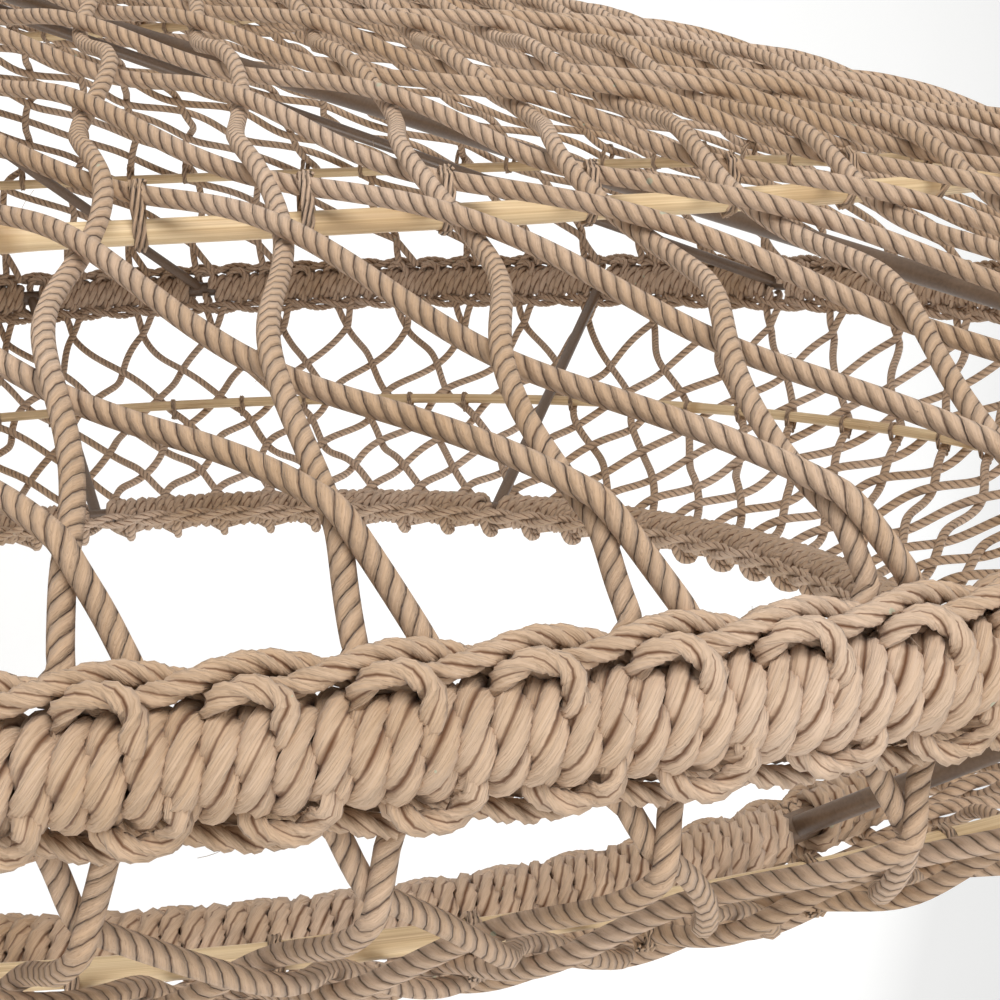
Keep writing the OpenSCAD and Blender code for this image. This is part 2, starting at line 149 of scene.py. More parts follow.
class ChairColours(bpy.types.PropertyGroup):
    """Colours of the chair's finishes"""
    cord_light: colour_property("Cord, light", "Paper cord where it is palest", (0.61, 0.45, 0.33))
    cord_dark: colour_property("Cord, dark", "Paper cord where it is darkest", (0.42, 0.27, 0.15))
    # Painted shade: this colour is laid into the grooves between the plies and into the creases, where shade falls
    crevice_shade: colour_property("Crevice", "Between the plies of a cord", (0.13, 0.055, 0.022))
    rattan_light: colour_property("Rattan, light", "Bare rattan", (0.78, 0.60, 0.36))
    rattan_dark: colour_property("Rattan, dark", "Streaks and joints of the rattan", (0.42, 0.26, 0.12))
    lacquer: colour_property("Lacquer", "Brown lacquer of the steel frame", (0.13, 0.083, 0.052))
    zinc: colour_property("Zinc", "Zinc plating of the eye, bolts and nuts", (0.60, 0.61, 0.62))
    bronze: colour_property("Bronze", "Bearing bronze of the washer and bushes", (0.45, 0.27, 0.10))


# ---------------------------------------------------------------- shape of the shells

def outline(length):
    """x and z of the main hoop's centre line at lengths along it, from the right-hand side over the top."""
    l = np.mod(length, ROUND_LEN)
    ends = np.array([SIDE_LEN, SIDE_LEN + TOP_LEN, 2 * SIDE_LEN + TOP_LEN])
    arc = np.searchsorted(ends, l, side="right")
    start = np.concatenate(([0.0], ends))[arc]
    radius = np.array([SIDE_R, TOP_R, SIDE_R, LOW_R])[arc]
    first = np.array([0.0, SIDE_ANGLE, math.pi - SIDE_ANGLE, math.pi])[arc]
    cx = np.array([-SIDE_SHIFT, 0.0, SIDE_SHIFT, 0.0])[arc]
    cz = np.array([0.0, TOP_CENTRE, 0.0, 0.0])[arc]
    angle = first + (l - start) / radius
    return cx + radius * np.cos(angle), cz + radius * np.sin(angle)


def length_at(degrees):
    """Length along the outline at a direction of the hoop's own arcs."""
    a = math.radians(degrees)
    if a < SIDE_ANGLE:
        return SIDE_R * a
    if a < math.pi - SIDE_ANGLE:
        return SIDE_LEN + TOP_R * (a - SIDE_ANGLE)
    if a < math.pi:
        return SIDE_LEN + TOP_LEN + SIDE_R * (a - math.pi + SIDE_ANGLE)
    return 2 * SIDE_LEN + TOP_LEN + LOW_R * (a - math.pi)


def depth(share, full):
    """Distance of a shell from the hoop's plane at a share of the hoop."""
    return NET_START + (full - NET_START) * np.maximum(0, 1 - share ** BULGE) ** (1 / BULGE)


def shell(length, share, side):
    """Points of the back or the front shell, from the hoop's centre."""
    x, z = outline(length)
    if side == BACK:
        y, shift = depth(share, BACK_DEPTH), -BACK_DROP * np.maximum(0, 1 - share) ** DROP_POWER
    else:
        y, shift = -depth(share, FRONT_DEPTH), MOUTH_RISE * (1 - share)
    return np.stack([x * share, y, z * share + shift], axis=-1)


def unit(v):
    """Vectors brought to length one."""
    return v / np.maximum(np.linalg.norm(v, axis=-1, keepdims=True), 1e-12)


def shell_normal(length, share, side):
    """Unit normals of a shell, pointing out of the chair."""
    e = 0.002
    s = np.minimum(share, 1 - e)
    along = shell(length + 2 * MM, s, side) - shell(length - 2 * MM, s, side)
    inward = shell(length, s - e, side) - shell(length, s + e, side)
    return unit(np.cross(inward, along)) * side


def outward(length):
    """Unit vectors in the hoop's plane that point away from its inside."""
    x0, z0 = outline(length - MM)
    x1, z1 = outline(length + MM)
    return unit(np.stack([z1 - z0, np.zeros_like(x0), x0 - x1], axis=-1))


def placed(points):
    """From the hoop's own centre to its place under the hanger."""
    return points + np.array([0.0, HOOP_Y, HOOP_Z])


def evenly(points, steps, until):
    """A path's points again, at steps along it that grow from the first to the second until a length along it."""
    run = np.concatenate(([0.0], np.cumsum(np.linalg.norm(np.diff(points, axis=0), axis=1))))
    total = run[-1]
    at = [0.0]
    while at[-1] < total:
        at.append(at[-1] + np.interp(at[-1] / until, [0.4, 1], steps))
    at = np.array(at) * total / at[-1]
    return np.stack([np.interp(at, run, points[:, k]) for k in range(3)], axis=-1)


# ---------------------------------------------------------------- building with nodes

class Nodes:
    """Adds nodes to a tree. An input is given in its place as a value or as another node's output."""

    def __init__(self, tree):
        self.tree = tree

    def __call__(self, kind, *values, out=0, **settings):
        node = self.tree.nodes.new(kind)
        for key, value in settings.items():
            setattr(node, key, value)
        sockets = [s for s in node.inputs if s.enabled]
        for socket, value in zip(sockets, values):
            if isinstance(value, bpy.types.NodeSocket):
                self.tree.links.new(value, socket)
            elif value is not None:
                socket.default_value = value
        return [s for s in node.outputs if s.enabled][out]

    def math(self, operation, *values):
        return self("ShaderNodeMath", *values, operation=operation)

    def vector(self, operation, *values):
        return self("ShaderNodeVectorMath", *values, operation=operation)

    def scaled(self, vector, factor):
        return self("ShaderNodeVectorMath", vector, factor, operation="SCALE")


def new_tree(name, inputs):
    """A Geometry Nodes tree with a geometry in and out and the named inputs, each (kind, default)."""
    tree = bpy.data.node_groups.new(name, "GeometryNodeTree")
    tree.interface.new_socket("Geometry", in_out="INPUT", socket_type="NodeSocketGeometry")
    tree.interface.new_socket("Geometry", in_out="OUTPUT", socket_type="NodeSocketGeometry")
    for label, (kind, default) in inputs.items():
        socket = tree.interface.new_socket(label, in_out="INPUT", socket_type="NodeSocket" + kind)
        if default is not None:
            socket.default_value = default
    given = tree.nodes.new("NodeGroupInput")
    result = tree.nodes.new("NodeGroupOutput")
    return tree, Nodes(tree), {s.name: s for s in given.outputs}, result.inputs[0]


def stored(n, geometry, name, value, kind="FLOAT"):
    """Keeps a value as a named attribute of a geometry's points."""
    return n("GeometryNodeStoreNamedAttribute", geometry, None, name, value, data_type=kind, domain="POINT")


def swept(n, curve, profile, size, finish):
    """A closed smooth mesh of a profile led along curves, with its material."""
    mesh = n("GeometryNodeCurveToMesh", curve, profile, size, True)
    whole = n("GeometryNodeRealizeInstances", n("GeometryNodeSetShadeSmooth", mesh, None, True))
    return n("GeometryNodeSetMaterial", whole, None, finish)


def cord_tree():
    """Curves become cord of three plies, turned by Turns at each point; at Carved 0 the material draws them."""
    tree, n, given, result = new_tree("Twisted cord", {
        "Radius": ("Float", 2.75 * MM), "Turns": ("Float", 0.0), "Groove": ("Float", 0.3),
        "Sides": ("Int", 12), "Carved": ("Float", 1.0), "Material": ("Material", None)})
    turn = n.math("MULTIPLY", n.math("MULTIPLY", given["Turns"], given["Carved"]), 2 * math.pi)
    curve = n("GeometryNodeSetCurveTilt", given["Geometry"], None, turn)
    drawn = n.math("MULTIPLY", given["Turns"], n.math("SUBTRACT", 1.0, given["Carved"]))
    curve = stored(n, curve, "drawn", drawn)
    curve = stored(n, curve, "along", n("GeometryNodeSplineParameter", out=1))
    ring = n("GeometryNodeCurvePrimitiveCircle", given["Sides"], given["Radius"])
    where = n("GeometryNodeInputPosition")
    angle = n.math("ARCTAN2", n("ShaderNodeSeparateXYZ", where, out=1), n("ShaderNodeSeparateXYZ", where))
    crest = n.math("POWER", n.math("ABSOLUTE", n.math("SINE", n.math("MULTIPLY", angle, 1.5))), 0.6)
    size = n.math("SUBTRACT", 1.0, n.math("MULTIPLY", given["Groove"], n.math("SUBTRACT", 1.0, crest)))
    ring = stored(n, ring, "grain", where, "FLOAT_VECTOR")
    ring = n("GeometryNodeSetPosition", ring, None, n.scaled(where, size))
    n.tree.links.new(swept(n, curve, ring, None, given["Material"]), result)
    return tree


def group(n, tree, **values):
    """A tree used inside another one."""
    node = n.tree.nodes.new("GeometryNodeGroup")
    node.node_tree = tree
    for label, value in values.items():
        socket = node.inputs[label]
        if isinstance(value, bpy.types.NodeSocket):
            n.tree.links.new(value, socket)
        else:
            socket.default_value = value
    return node.outputs[0]


def lines_tree(cord):
    """Plain lines, whose points hold their own turns of twist, become twisted cord."""
    tree, n, given, result = new_tree("Cord along lines", {
        "Radius": ("Float", 2.75 * MM), "Groove": ("Float", 0.3), "Sides": ("Int", 12),
        "Carved": ("Float", 1.0), "Material": ("Material", None)})
    curve = n("GeometryNodeMeshToCurve", given["Geometry"])
    turns = n("GeometryNodeInputNamedAttribute", "turns", data_type="FLOAT")
    made = group(n, cord, Geometry=curve, Radius=given["Radius"], Turns=turns, Groove=given["Groove"],
                 Sides=given["Sides"], Carved=given["Carved"], Material=given["Material"])
    n.tree.links.new(made, result)
    return tree


def winding_tree(cord):
    """A cord wound as a helix about each line, in planes square to the hoop."""
    tree, n, given, result = new_tree("Winding", {
        "Turn Radius": ("Float", 7 * MM), "Pitch": ("Float", 8 * MM), "Start": ("Float", 0.0),
        "Hand": ("Float", 1.0), "Steps": ("Int", 20), "Unevenness": ("Float", 0.0), "Radius": ("Float", 4 * MM),
        "Lay": ("Float", 25 * MM), "Groove": ("Float", 0.3), "Sides": ("Int", 12),
        "Material": ("Material", None)})
    curve = n("GeometryNodeMeshToCurve", given["Geometry"])
    step = n.math("DIVIDE", given["Pitch"], given["Steps"])
    curve = n("GeometryNodeResampleCurve", curve, None, step, mode="LENGTH")
    run = n("GeometryNodeSplineParameter", out=1)
    where = n("GeometryNodeInputPosition")
    noise = n("ShaderNodeTexNoise", where, 60.0, 2.0, 0.5, noise_dimensions="3D")
    sway = n.math("MULTIPLY", n.math("SUBTRACT", noise, 0.5), given["Unevenness"])
    turned = n.math("MULTIPLY", n.math("DIVIDE", run, given["Pitch"]), given["Hand"])
    phase = n.math("ADD", n.math("ADD", turned, given["Start"]), sway)
    angle = n.math("MULTIPLY", phase, 2 * math.pi)
    tangent = n("GeometryNodeInputTangent")
    side = n.vector("NORMALIZE", n.vector("CROSS_PRODUCT", tangent, UP_Y))
    fine = n("ShaderNodeTexNoise", where, 110.0, 1.0, 0.5, noise_dimensions="3D")
    wander = n.math("MULTIPLY", n.math("SUBTRACT", fine, 0.5), n.math("MULTIPLY", given["Unevenness"], 3.2))
    astray = n.scaled(tangent, n.math("MULTIPLY", wander, given["Radius"]))
    coarse = n("ShaderNodeTexNoise", where, 25.0, 1.0, 0.5, noise_dimensions="3D")
    loose = n.math("MULTIPLY", n.math("SUBTRACT", coarse, 0.5), given["Unevenness"])
    reach = n.math("MULTIPLY", given["Turn Radius"], n.math("ADD", 1.0, n.math("MULTIPLY", loose, 0.25)))
    out = n.scaled(side, n.math("MULTIPLY", n.math("COSINE", angle), reach))
    up = n.scaled(UP_Y, n.math("MULTIPLY", n.math("SINE", angle), reach))
    moved = n.vector("ADD", n.vector("ADD", out, up), astray)
    helix = n("GeometryNodeSetPosition", curve, None, None, moved)
    laid = n.math("DIVIDE", n("GeometryNodeSplineParameter", out=1), given["Lay"])
    made = group(n, cord, Geometry=helix, Radius=given["Radius"], Turns=laid, Groove=given["Groove"],
                 Sides=given["Sides"], Material=given["Material"])
    n.tree.links.new(made, result)
    return tree


# Distance between two joints of the rattan, in metres
JOINT_SPACING = 0.27


def pole_tree():
    """Lines become rattan poles: round, with swollen joints and a slightly uneven surface."""
    tree, n, given, result = new_tree("Rattan pole", {
        "Radius": ("Float", 3.5 * MM), "Joint Spacing": ("Float", JOINT_SPACING),
        "Material": ("Material", None)})
    curve = n("GeometryNodeMeshToCurve", given["Geometry"])
    curve = n("GeometryNodeResampleCurve", curve, None, 4 * MM, mode="LENGTH")
    run = n("GeometryNodeSplineParameter", out=1)
    curve = stored(n, curve, "along", run)
    ring = n("GeometryNodeCurvePrimitiveCircle", 12, given["Radius"])
    ring = stored(n, ring, "grain", n("GeometryNodeInputPosition"), "FLOAT_VECTOR")
    place = n.math("DIVIDE", run, given["Joint Spacing"])
    off = n.math("ABSOLUTE", n.math("SUBTRACT", n.math("FRACT", place), 0.5))
    near = n.math("MULTIPLY", n.math("MULTIPLY", off, given["Joint Spacing"]), 1 / (5 * MM))
    swell = n.math("DIVIDE", 0.13, n.math("ADD", 1.0, n.math("MULTIPLY", near, near)))
    noise = n("ShaderNodeTexNoise", n("GeometryNodeInputPosition"), 22.0, 3.0, 0.5, noise_dimensions="3D")
    size = n.math("ADD", n.math("ADD", 0.90, swell), n.math("MULTIPLY", n.math("SUBTRACT", noise, 0.5), 0.16))
    n.tree.links.new(swept(n, curve, ring, size, given["Material"]), result)
    return tree


def line_object(name, paths, turns=None):
    """An object of plain lines, one for each path, with its points' turns of twist."""
    sizes = [len(p) for p in paths]
    points = np.concatenate(paths)
    first = np.concatenate(([0], np.cumsum(sizes)[:-1]))
    edges = np.concatenate([np.stack([np.arange(s, s + m - 1), np.arange(s + 1, s + m)], axis=1)
                            for s, m in zip(first, sizes)])
    mesh = bpy.data.meshes.new(name)
    mesh.vertices.add(len(points))
    mesh.vertices.foreach_set("co", points.astype(np.float32).ravel())
    mesh.edges.add(len(edges))
    mesh.edges.foreach_set("vertices", edges.astype(np.int32).ravel())
    if turns is not None:
        held = mesh.attributes.new("turns", "FLOAT", "POINT")
        held.data.foreach_set("value", np.concatenate(turns).astype(np.float32))
    mesh.update()
    obj = bpy.data.objects.new(name, mesh)
    bpy.context.scene.collection.objects.link(obj)
    return obj


def grown(obj, tree, **values):
    """Runs a tree on an object of lines and leaves the result as the object's own plain mesh."""
    modifier = obj.modifiers.new("Make", "NODES")
    modifier.node_group = tree
    for item in tree.interface.items_tree:
        if item.item_type == "SOCKET" and item.in_out == "INPUT" and item.name.replace(" ", "_") in values:
            modifier[item.identifier] = values[item.name.replace(" ", "_")]
    seen = obj.evaluated_get(bpy.context.evaluated_depsgraph_get())
    mesh = bpy.data.meshes.new_from_object(seen)
    obj.modifiers.clear()
    obj.data = mesh
    mesh.name = obj.name
    if not mesh.polygons:
        raise RuntimeError(f"{obj.name} came out empty")


def finished(obj, slot_name, *nodes):
    """Makes a piece of the chair's body and hides the frame's nodes that it stands for; the slot's name is not used.
    """
    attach(obj, BODY)
    if nodes:
        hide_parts(*nodes)


# ---------------------------------------------------------------- materials

def material(name, roughness, metallic=0.0, **sockets):
    """A material with its shader's even values set on the shader itself."""
    made = bpy.data.materials.new(name)
    made.use_nodes = True
    shader = made.node_tree.nodes["Principled BSDF"]
    shader.inputs["Roughness"].default_value = roughness
    shader.inputs["Metallic"].default_value = metallic
    for label, value in sockets.items():
        shader.inputs[label.replace("_", " ")].default_value = value
    return made, Nodes(made.node_tree), shader


def mixed(n, factor, a, b):
    """Two colours mixed; a colour may be a node's output."""
    a = a if isinstance(a, bpy.types.NodeSocket) else (*a, 1.0)
    b = b if isinstance(b, bpy.types.NodeSocket) else (*b, 1.0)
    return n("ShaderNodeMix", factor, a, b, data_type="RGBA")


def wired(n, shader, colour=None, roughness=None, normal=None):
    """Links what is given to a shader's colour, roughness and normal."""
    for label, socket in (("Base Color", colour), ("Roughness", roughness), ("Normal", normal)):
        if socket is not None:
            n.tree.links.new(socket, shader.inputs[label])


def attribute(n, name, out=2):
    """A named attribute of the surface: its value, or its vector with 1 as out."""
    return n("ShaderNodeAttribute", out=out, attribute_name=name)


def span(n, value, low, high, to_low=0.0, to_high=1.0):
    """A value mapped from one range to another and kept inside it."""
    return n("ShaderNodeMapRange", value, low, high, to_low, to_high)


def streaked(n, across, along, fine, long, detail, rough, distortion=None):
    """Noise drawn out along a strand, with how fast it changes across the strand and along it, per metre."""
    space = n.vector("ADD", n.scaled(across, fine), n.scaled(along, long))
    return n("ShaderNodeTexNoise", space, 1.0, detail, rough, None, distortion)


# Tint that warms the net's cord, and the greenish flecks in the paper
WARM = (0.60, 0.36, 0.20)
FLECK = (0.42, 0.45, 0.32)
FLECKS_PER_M = 260.0


def cord_material(name, colours, warm, relief):
    """Twisted kraft paper: wrinkled fibres along the plies, painted shade in the crevices between them, in the
    creases and in the wrinkles' hollows, rare flecks.
    """
    made, n, shader = material(name, 0.82, Specular_IOR_Level=0.25, Sheen_Weight=0.12, Sheen_Roughness=0.6)
    place = n("ShaderNodeTexCoord", out=3)
    back_turn = n.math("MULTIPLY", attribute(n, "drawn"), -2 * math.pi)
    across = n("ShaderNodeVectorRotate", attribute(n, "grain", 1), ZERO, back_turn, rotation_type="Z_AXIS")
    along = n("ShaderNodeCombineXYZ", 0.0, 0.0, attribute(n, "along"))
    fibres = streaked(n, across, along, 2600.0, 210.0, 4.0, 0.6)
    wrinkles = streaked(n, across, along, 700.0, 160.0, 3.0, 0.55, 0.6)
    crease = n.math("ABSOLUTE", n.math("SUBTRACT", streaked(n, across, along, 1500.0, 85.0, 2.0, 0.5), 0.5))
    uneven = streaked(n, across, along, 160.0, 120.0, 2.0, 0.5)
    patches = n("ShaderNodeTexNoise", place, 13.0, 4.0, 0.6)

    shade = n.math("ADD", n.math("MULTIPLY", patches, 0.7), n.math("MULTIPLY", fibres, 0.3))
    body = mixed(n, span(n, shade, 0.32, 0.62), colours.cord_dark, colours.cord_light)
    # Painted shade: the hollows of the wrinkles, which the bump sinks, are darkened towards the dark cord colour
    body = mixed(n, span(n, wrinkles, 0.30, 0.44, 0.22, 0.0), body, colours.cord_dark)
    # Painted shade: the crease lines, which the bump folds in, are darkened towards the crevice colour
    body = mixed(n, span(n, crease, 0.0, 0.02, 0.26, 0.0), body, colours.crevice_shade)
    body = mixed(n, warm, body, WARM)

    angle = n.math("ARCTAN2", n("ShaderNodeSeparateXYZ", across, out=1), n("ShaderNodeSeparateXYZ", across))
    ply = n.math("ABSOLUTE", n.math("SINE", n.math("MULTIPLY", angle, 1.5)))
    # Painted shade: the grooves between the plies are darkened towards the crevice colour, more strongly on cord
    # whose bump gives less relief
    groove_shade = span(n, ply, 0.05, span(n, uneven, 0.38, 0.62, 0.16, 0.44), 1.0, 0.0)
    strong = span(n, uneven, 0.36, 0.60, 0.7 - 0.4 * relief, 1.0 - 0.3 * relief)
    body = mixed(n, n.math("MULTIPLY", groove_shade, strong), body, colours.crevice_shade)

    fleck = n("ShaderNodeTexVoronoi", place, FLECKS_PER_M, feature="F1")
    cell = n("ShaderNodeTexVoronoi", place, FLECKS_PER_M, out=2)
    chance = n("ShaderNodeTexWhiteNoise", cell, noise_dimensions="3D")
    spot = n.math("MULTIPLY", n.math("GREATER_THAN", chance, 0.988), n.math("LESS_THAN", fleck, 0.22))
    body = mixed(n, n.math("MULTIPLY", spot, 0.7), body, FLECK)

    folds = span(n, crease, 0.0, 0.05, -0.35, 0.0)
    height = n.math("ADD", n.math("ADD", n.math("MULTIPLY", fibres, 0.35), wrinkles), n.math("POWER", ply, 0.5))
    plies = n("ShaderNodeBump", relief, 1.0 * MM, None, n.math("POWER", ply, 0.8))
    bump = n("ShaderNodeBump", 0.6, 0.5 * MM, None, n.math("ADD", height, folds), plies)
    wired(n, shader, body, span(n, fibres, 0.3, 0.7, 0.74, 0.92), bump)
    return made


def rattan_material(colours):
    """Bare rattan: long pale streaks, darker joints and a dull natural skin."""
    made, n, shader = material("rattan", 0.5, Specular_IOR_Level=0.4)
    across = n.vector("MULTIPLY", attribute(n, "grain", 1), (1.0, 1.0, 0.0))
    along = attribute(n, "along")
    streaks = streaked(n, across, n("ShaderNodeCombineXYZ", 0.0, 0.0, along), 1500.0, 14.0, 4.0, 0.6)
    patches = n("ShaderNodeTexNoise", n("ShaderNodeTexCoord", out=3), 18.0, 3.0, 0.6)
    tone = n.math("ADD", n.math("MULTIPLY", streaks, 0.6), n.math("MULTIPLY", patches, 0.4))
    body = mixed(n, span(n, tone, 0.60, 0.40, 0.0, 0.75), colours.rattan_light, colours.rattan_dark)
    turn = n.math("FRACT", n.math("DIVIDE", along, JOINT_SPACING))
    off = n.math("ABSOLUTE", n.math("SUBTRACT", turn, 0.5))
    body = mixed(n, span(n, off, 0.006, 0.022, 0.7, 0.0), body, colours.rattan_dark)
    bump = n("ShaderNodeBump", 0.4, 0.25 * MM, None, streaks)
    wired(n, shader, body, span(n, streaks, 0.3, 0.7, 0.42, 0.6), bump)
    return made


def steel_material(name, colour, roughness, metallic, grain, spread):
    """A steel part's finish, with fine unevenness in colour, gloss and surface."""
    made, n, shader = material(name, roughness, metallic, Specular_IOR_Level=0.5)
    place = n("ShaderNodeTexCoord", out=3)
    broad = n("ShaderNodeTexNoise", place, 45.0, 4.0, 0.6)
    fine = n("ShaderNodeTexNoise", place, grain, 3.0, 0.55)
    dark = tuple(c * (1 - spread) for c in colour)
    light = tuple(min(1.0, c * (1 + spread)) for c in colour)
    body = mixed(n, span(n, n.math("ADD", broad, fine), 0.7, 1.3), dark, light)
    bump = n("ShaderNodeBump", 0.25, 0.1 * MM, None, fine)
    gloss = span(n, broad, 0.3, 0.7, roughness - 0.08, roughness + 0.12)
    wired(n, shader, body, gloss, bump)
    return made


class Kit:
    """What the operators share: the trees and the finishes, made once."""
    trees = {}
    finishes = {}


def prepare(context):
    """Makes the trees and the finishes."""
    colours = context.scene.chair_colours
    cord = cord_tree()
    Kit.trees = {"lines": lines_tree(cord), "winding": winding_tree(cord), "pole": pole_tree()}
    Kit.finishes = {
        "wrap_cord": cord_material("wrap_cord", colours, 0.0, 0.0),
        "net_cord": cord_material("net_cord", colours, 0.12, 0.85),
        "rattan": rattan_material(colours),
        "frame_steel": steel_material("frame_steel", colours.lacquer, 0.38, 0.0, 900.0, 0.25),
        "zinc_steel": steel_material("zinc_steel", colours.zinc, 0.34, 1.0, 700.0, 0.12),
        "bronze": steel_material("bronze", colours.bronze, 0.36, 1.0, 800.0, 0.15),
    }


# ---------------------------------------------------------------- cord work

# Where the first cord of a net leaves the hoop, in meshes, and where the first hitches sit, in half meshes
PHASE = 0.939
BACK_HITCH = 2 * PHASE - 0.1
FRONT_HITCH = 2 * PHASE - 0.36

# Points to a turn and sides of the cord, finer on the main hoop than on the mouth and the back ring
FINE_WINDING = {"Steps": 26, "Sides": 12}
PLAIN_WINDING = {"Steps": 14, "Sides": 9}
PAIR_STEPS = 32
PAIR_LAY = 15.5 * MM
HITCH_LAY = 19 * MM
LASHING_LAY = 16 * MM


def cut_lengths(gaps):
    """The stretches of the outline between gaps, each gap the length of its middle and its half width."""
    gaps = sorted(gaps)
    return [(a[0] + a[1], (b[0] if b[0] > a[0] else b[0] + ROUND_LEN) - b[1])
            for a, b in zip(gaps, gaps[1:] + gaps[:1])]


def ring_path(start, stop, share, y, shift, inside=0.0, step=4 * MM):
    """Points along a hoop between two lengths of the full outline."""
    l = np.linspace(start, stop, max(3, int((stop - start) * share / step)))
    x, z = outline(l)
    flat = np.stack([x * share, np.full_like(x, y), z * share + shift], axis=-1)
    return placed(flat - outward(l) * inside)


def wound(name, node, stretches, share, y, shift, turn_radius, sizes, fineness):
    """Cord wound turn beside turn round a hoop's rod, along each of the stretches."""
    lines = line_object(name, [ring_path(a, b, share, y, shift) for a, b in stretches])
    grown(lines, Kit.trees["winding"], Turn_Radius=turn_radius, Pitch=sizes.wrap_pitch, Unevenness=0.13,
          Radius=sizes.wrap_cord / 2, Lay=sizes.wrap_lay, Groove=0.42, Material=Kit.finishes["wrap_cord"],
          **fineness)
    finished(lines, "wrap_cord", node)


class CHAIR_OT_windings(bpy.types.Operator):
    """Winds the main hoop, the mouth hoop and the back ring with twisted paper cord"""
    bl_idname = "chair.windings"
    bl_label = "Windings"

    def execute(self, context):
        sizes = context.scene.chair_sizes
        centre_r = WRAP_R + 0.5 * MM - sizes.wrap_cord / 2
        at_rod = [(length_at(a), BARE_AT_ROD) for a in BACK_RIBS + FRONT_STAYS if a != TOP]
        at_rod.append((length_at(TOP), TOP_R * math.radians(BARE_HALF)))
        stretches = cut_lengths(at_rod)
        half = len(stretches) // 2
        for label, part in (("a", stretches[:half]), ("b", stretches[half:])):
            wound(f"main_winding_{label}", "main_hoop_wrap", part, 1, 0, 0, centre_r, sizes, FINE_WINDING)
        at_mouth = cut_lengths([(length_at(a), BARE_AT_ROD / MOUTH_SHARE) for a in FRONT_STAYS])
        wound("mouth_winding", "mouth_hoop_wrap", at_mouth, MOUTH_SHARE, MOUTH_Y, MOUTH_SHIFT, centre_r, sizes,
              PLAIN_WINDING)
        wound("ring_winding", "back_ring_wrap", [(0, ROUND_LEN)], RING_SHARE, RING_Y, RING_SHIFT,
              RING_WRAP_R - sizes.wrap_cord / 2, sizes, PLAIN_WINDING)
        return {"FINISHED"}


def pair(name, node, stretch, share, y, shift, inside, sizes, count, hand, sides, hitch=0.0):
    """Two cords twisted about each other along a hoop, one or the other nearest the hoop's rod at each hitch."""
    pitch = ROUND_LEN * share / count
    lowest = -0.25 - hand * (hitch / 2 - stretch[0] * share / pitch)
    for label, start in (("a", lowest), ("b", lowest + 0.5)):
        lines = line_object(f"{name}_{label}", [ring_path(*stretch, share, y, shift, inside)])
        grown(lines, Kit.trees["winding"], Turn_Radius=sizes.border_cord / 2, Pitch=pitch, Start=start, Hand=hand,
              Steps=PAIR_STEPS, Unevenness=0.05, Radius=sizes.border_cord / 2, Lay=PAIR_LAY, Groove=0.40,
              Sides=sides, Material=Kit.finishes["wrap_cord"])
        finished(lines, "wrap_cord", node)


class CHAIR_OT_borders(bpy.types.Operator):
    """Lays a twisted pair of cords along both sides of the main hoop and inside the mouth"""
    bl_idname = "chair.borders"
    bl_label = "Borders"

    def execute(self, context):
        sizes = context.scene.chair_sizes
        bare = TOP_R * math.radians(BARE_HALF)
        stretch = (length_at(TOP) + bare, length_at(TOP) + ROUND_LEN - bare)
        count = sizes.cords_round
        pair("back_border_pair", "back_border", stretch, 1, BORDER_Y - SEATED, 0, BORDER_IN - SEATED, sizes, count,
             1.0, 12, BACK_HITCH)
        pair("front_border_pair", "front_border", stretch, 1, SEATED - BORDER_Y, 0, BORDER_IN + SEATED, sizes, count,
             -1.0, 9, FRONT_HITCH)
        pair("mouth_border_pair", "mouth_border", (0, ROUND_LEN), MOUTH_SHARE, MOUTH_Y, MOUTH_SHIFT,
             WRAP_R + NET_CORD_D, sizes, round(count * MOUTH_SHARE), 1.0, 9)
        return {"FINISHED"}


# ---------------------------------------------------------------- nets

# The first row of crossings lies this far up the shell, in rows, and the cords' feet this far below it
FIRST_ROW = 0.2
FOOT = -0.32
SLOWING = 0.0006
POINTS_PER_ROW = 40

# The feet end this far past the border's middle, towards the hoop's plane, and this far inside it
FOOT_PAST = 4 * MM
FOOT_INSIDE = 3 * MM

# How far crossings stray from their places: up the shell, in rows, and along it
ASTRAY_ROWS = 0.085
ASTRAY_ALONG = 5 * MM

# The end of each cord, round the mouth's winding or the ring's: points left off the cord and points put on
LEFT_OFF = 20
END_POINTS = 24


def share_at(row, rows, last):
    """Share of the hoop at a row of crossings: rows shrink with the outline, a little faster further in."""
    up = np.maximum(row + FIRST_ROW, 0)
    rate = (-math.log(last) - SLOWING * (rows + FIRST_ROW) ** 2) / (rows + FIRST_ROW)
    return np.exp(-rate * up - SLOWING * up ** 2)


def net_cord(number, direction, side, sizes):
    """Points of one cord of a net, from its foot in the border to its end at the mouth or the back ring."""
    rows, last = (sizes.back_rows, RING_SHARE) if side == BACK else (sizes.front_rows, MOUTH_SHARE)
    mesh_len = ROUND_LEN / sizes.cords_round
    row = np.linspace(FOOT, rows, rows * POINTS_PER_ROW)
    length = (number + PHASE + direction * row / 2) * mesh_len
    loose = np.clip(rows - row, 0, 4) / 4 * np.clip(row + 1, 0, 1)
    astray = ASTRAY_ROWS * loose * np.sin(23 * length + 1.9 * row + side) * np.sin(9 * length - 1.3 * row)
    share = share_at(row + astray, rows, last)
    length = length + ASTRAY_ALONG * loose * np.sin(17 * length - 2.3 * row + 2 * side)
    points = shell(length, share, side)
    foot = np.clip(row / FOOT, 0, 1)
    points[:, 1] -= side * foot * (NET_START - BORDER_Y + FOOT_PAST)
    tuck = np.clip(1.8 * foot, 0, 1)
    points -= outward(length) * (tuck * tuck * (3 - 2 * tuck) * (BORDER_IN + FOOT_INSIDE))[:, None]
    weave = np.cos(math.pi * row) * direction * (sizes.net_cord / 2) * (1 - foot)
    points += shell_normal(length, share, side) * weave[:, None]
    end = end_turn(length[-1], side, direction, sizes)
    return placed(np.concatenate([points[:-LEFT_OFF], end]))


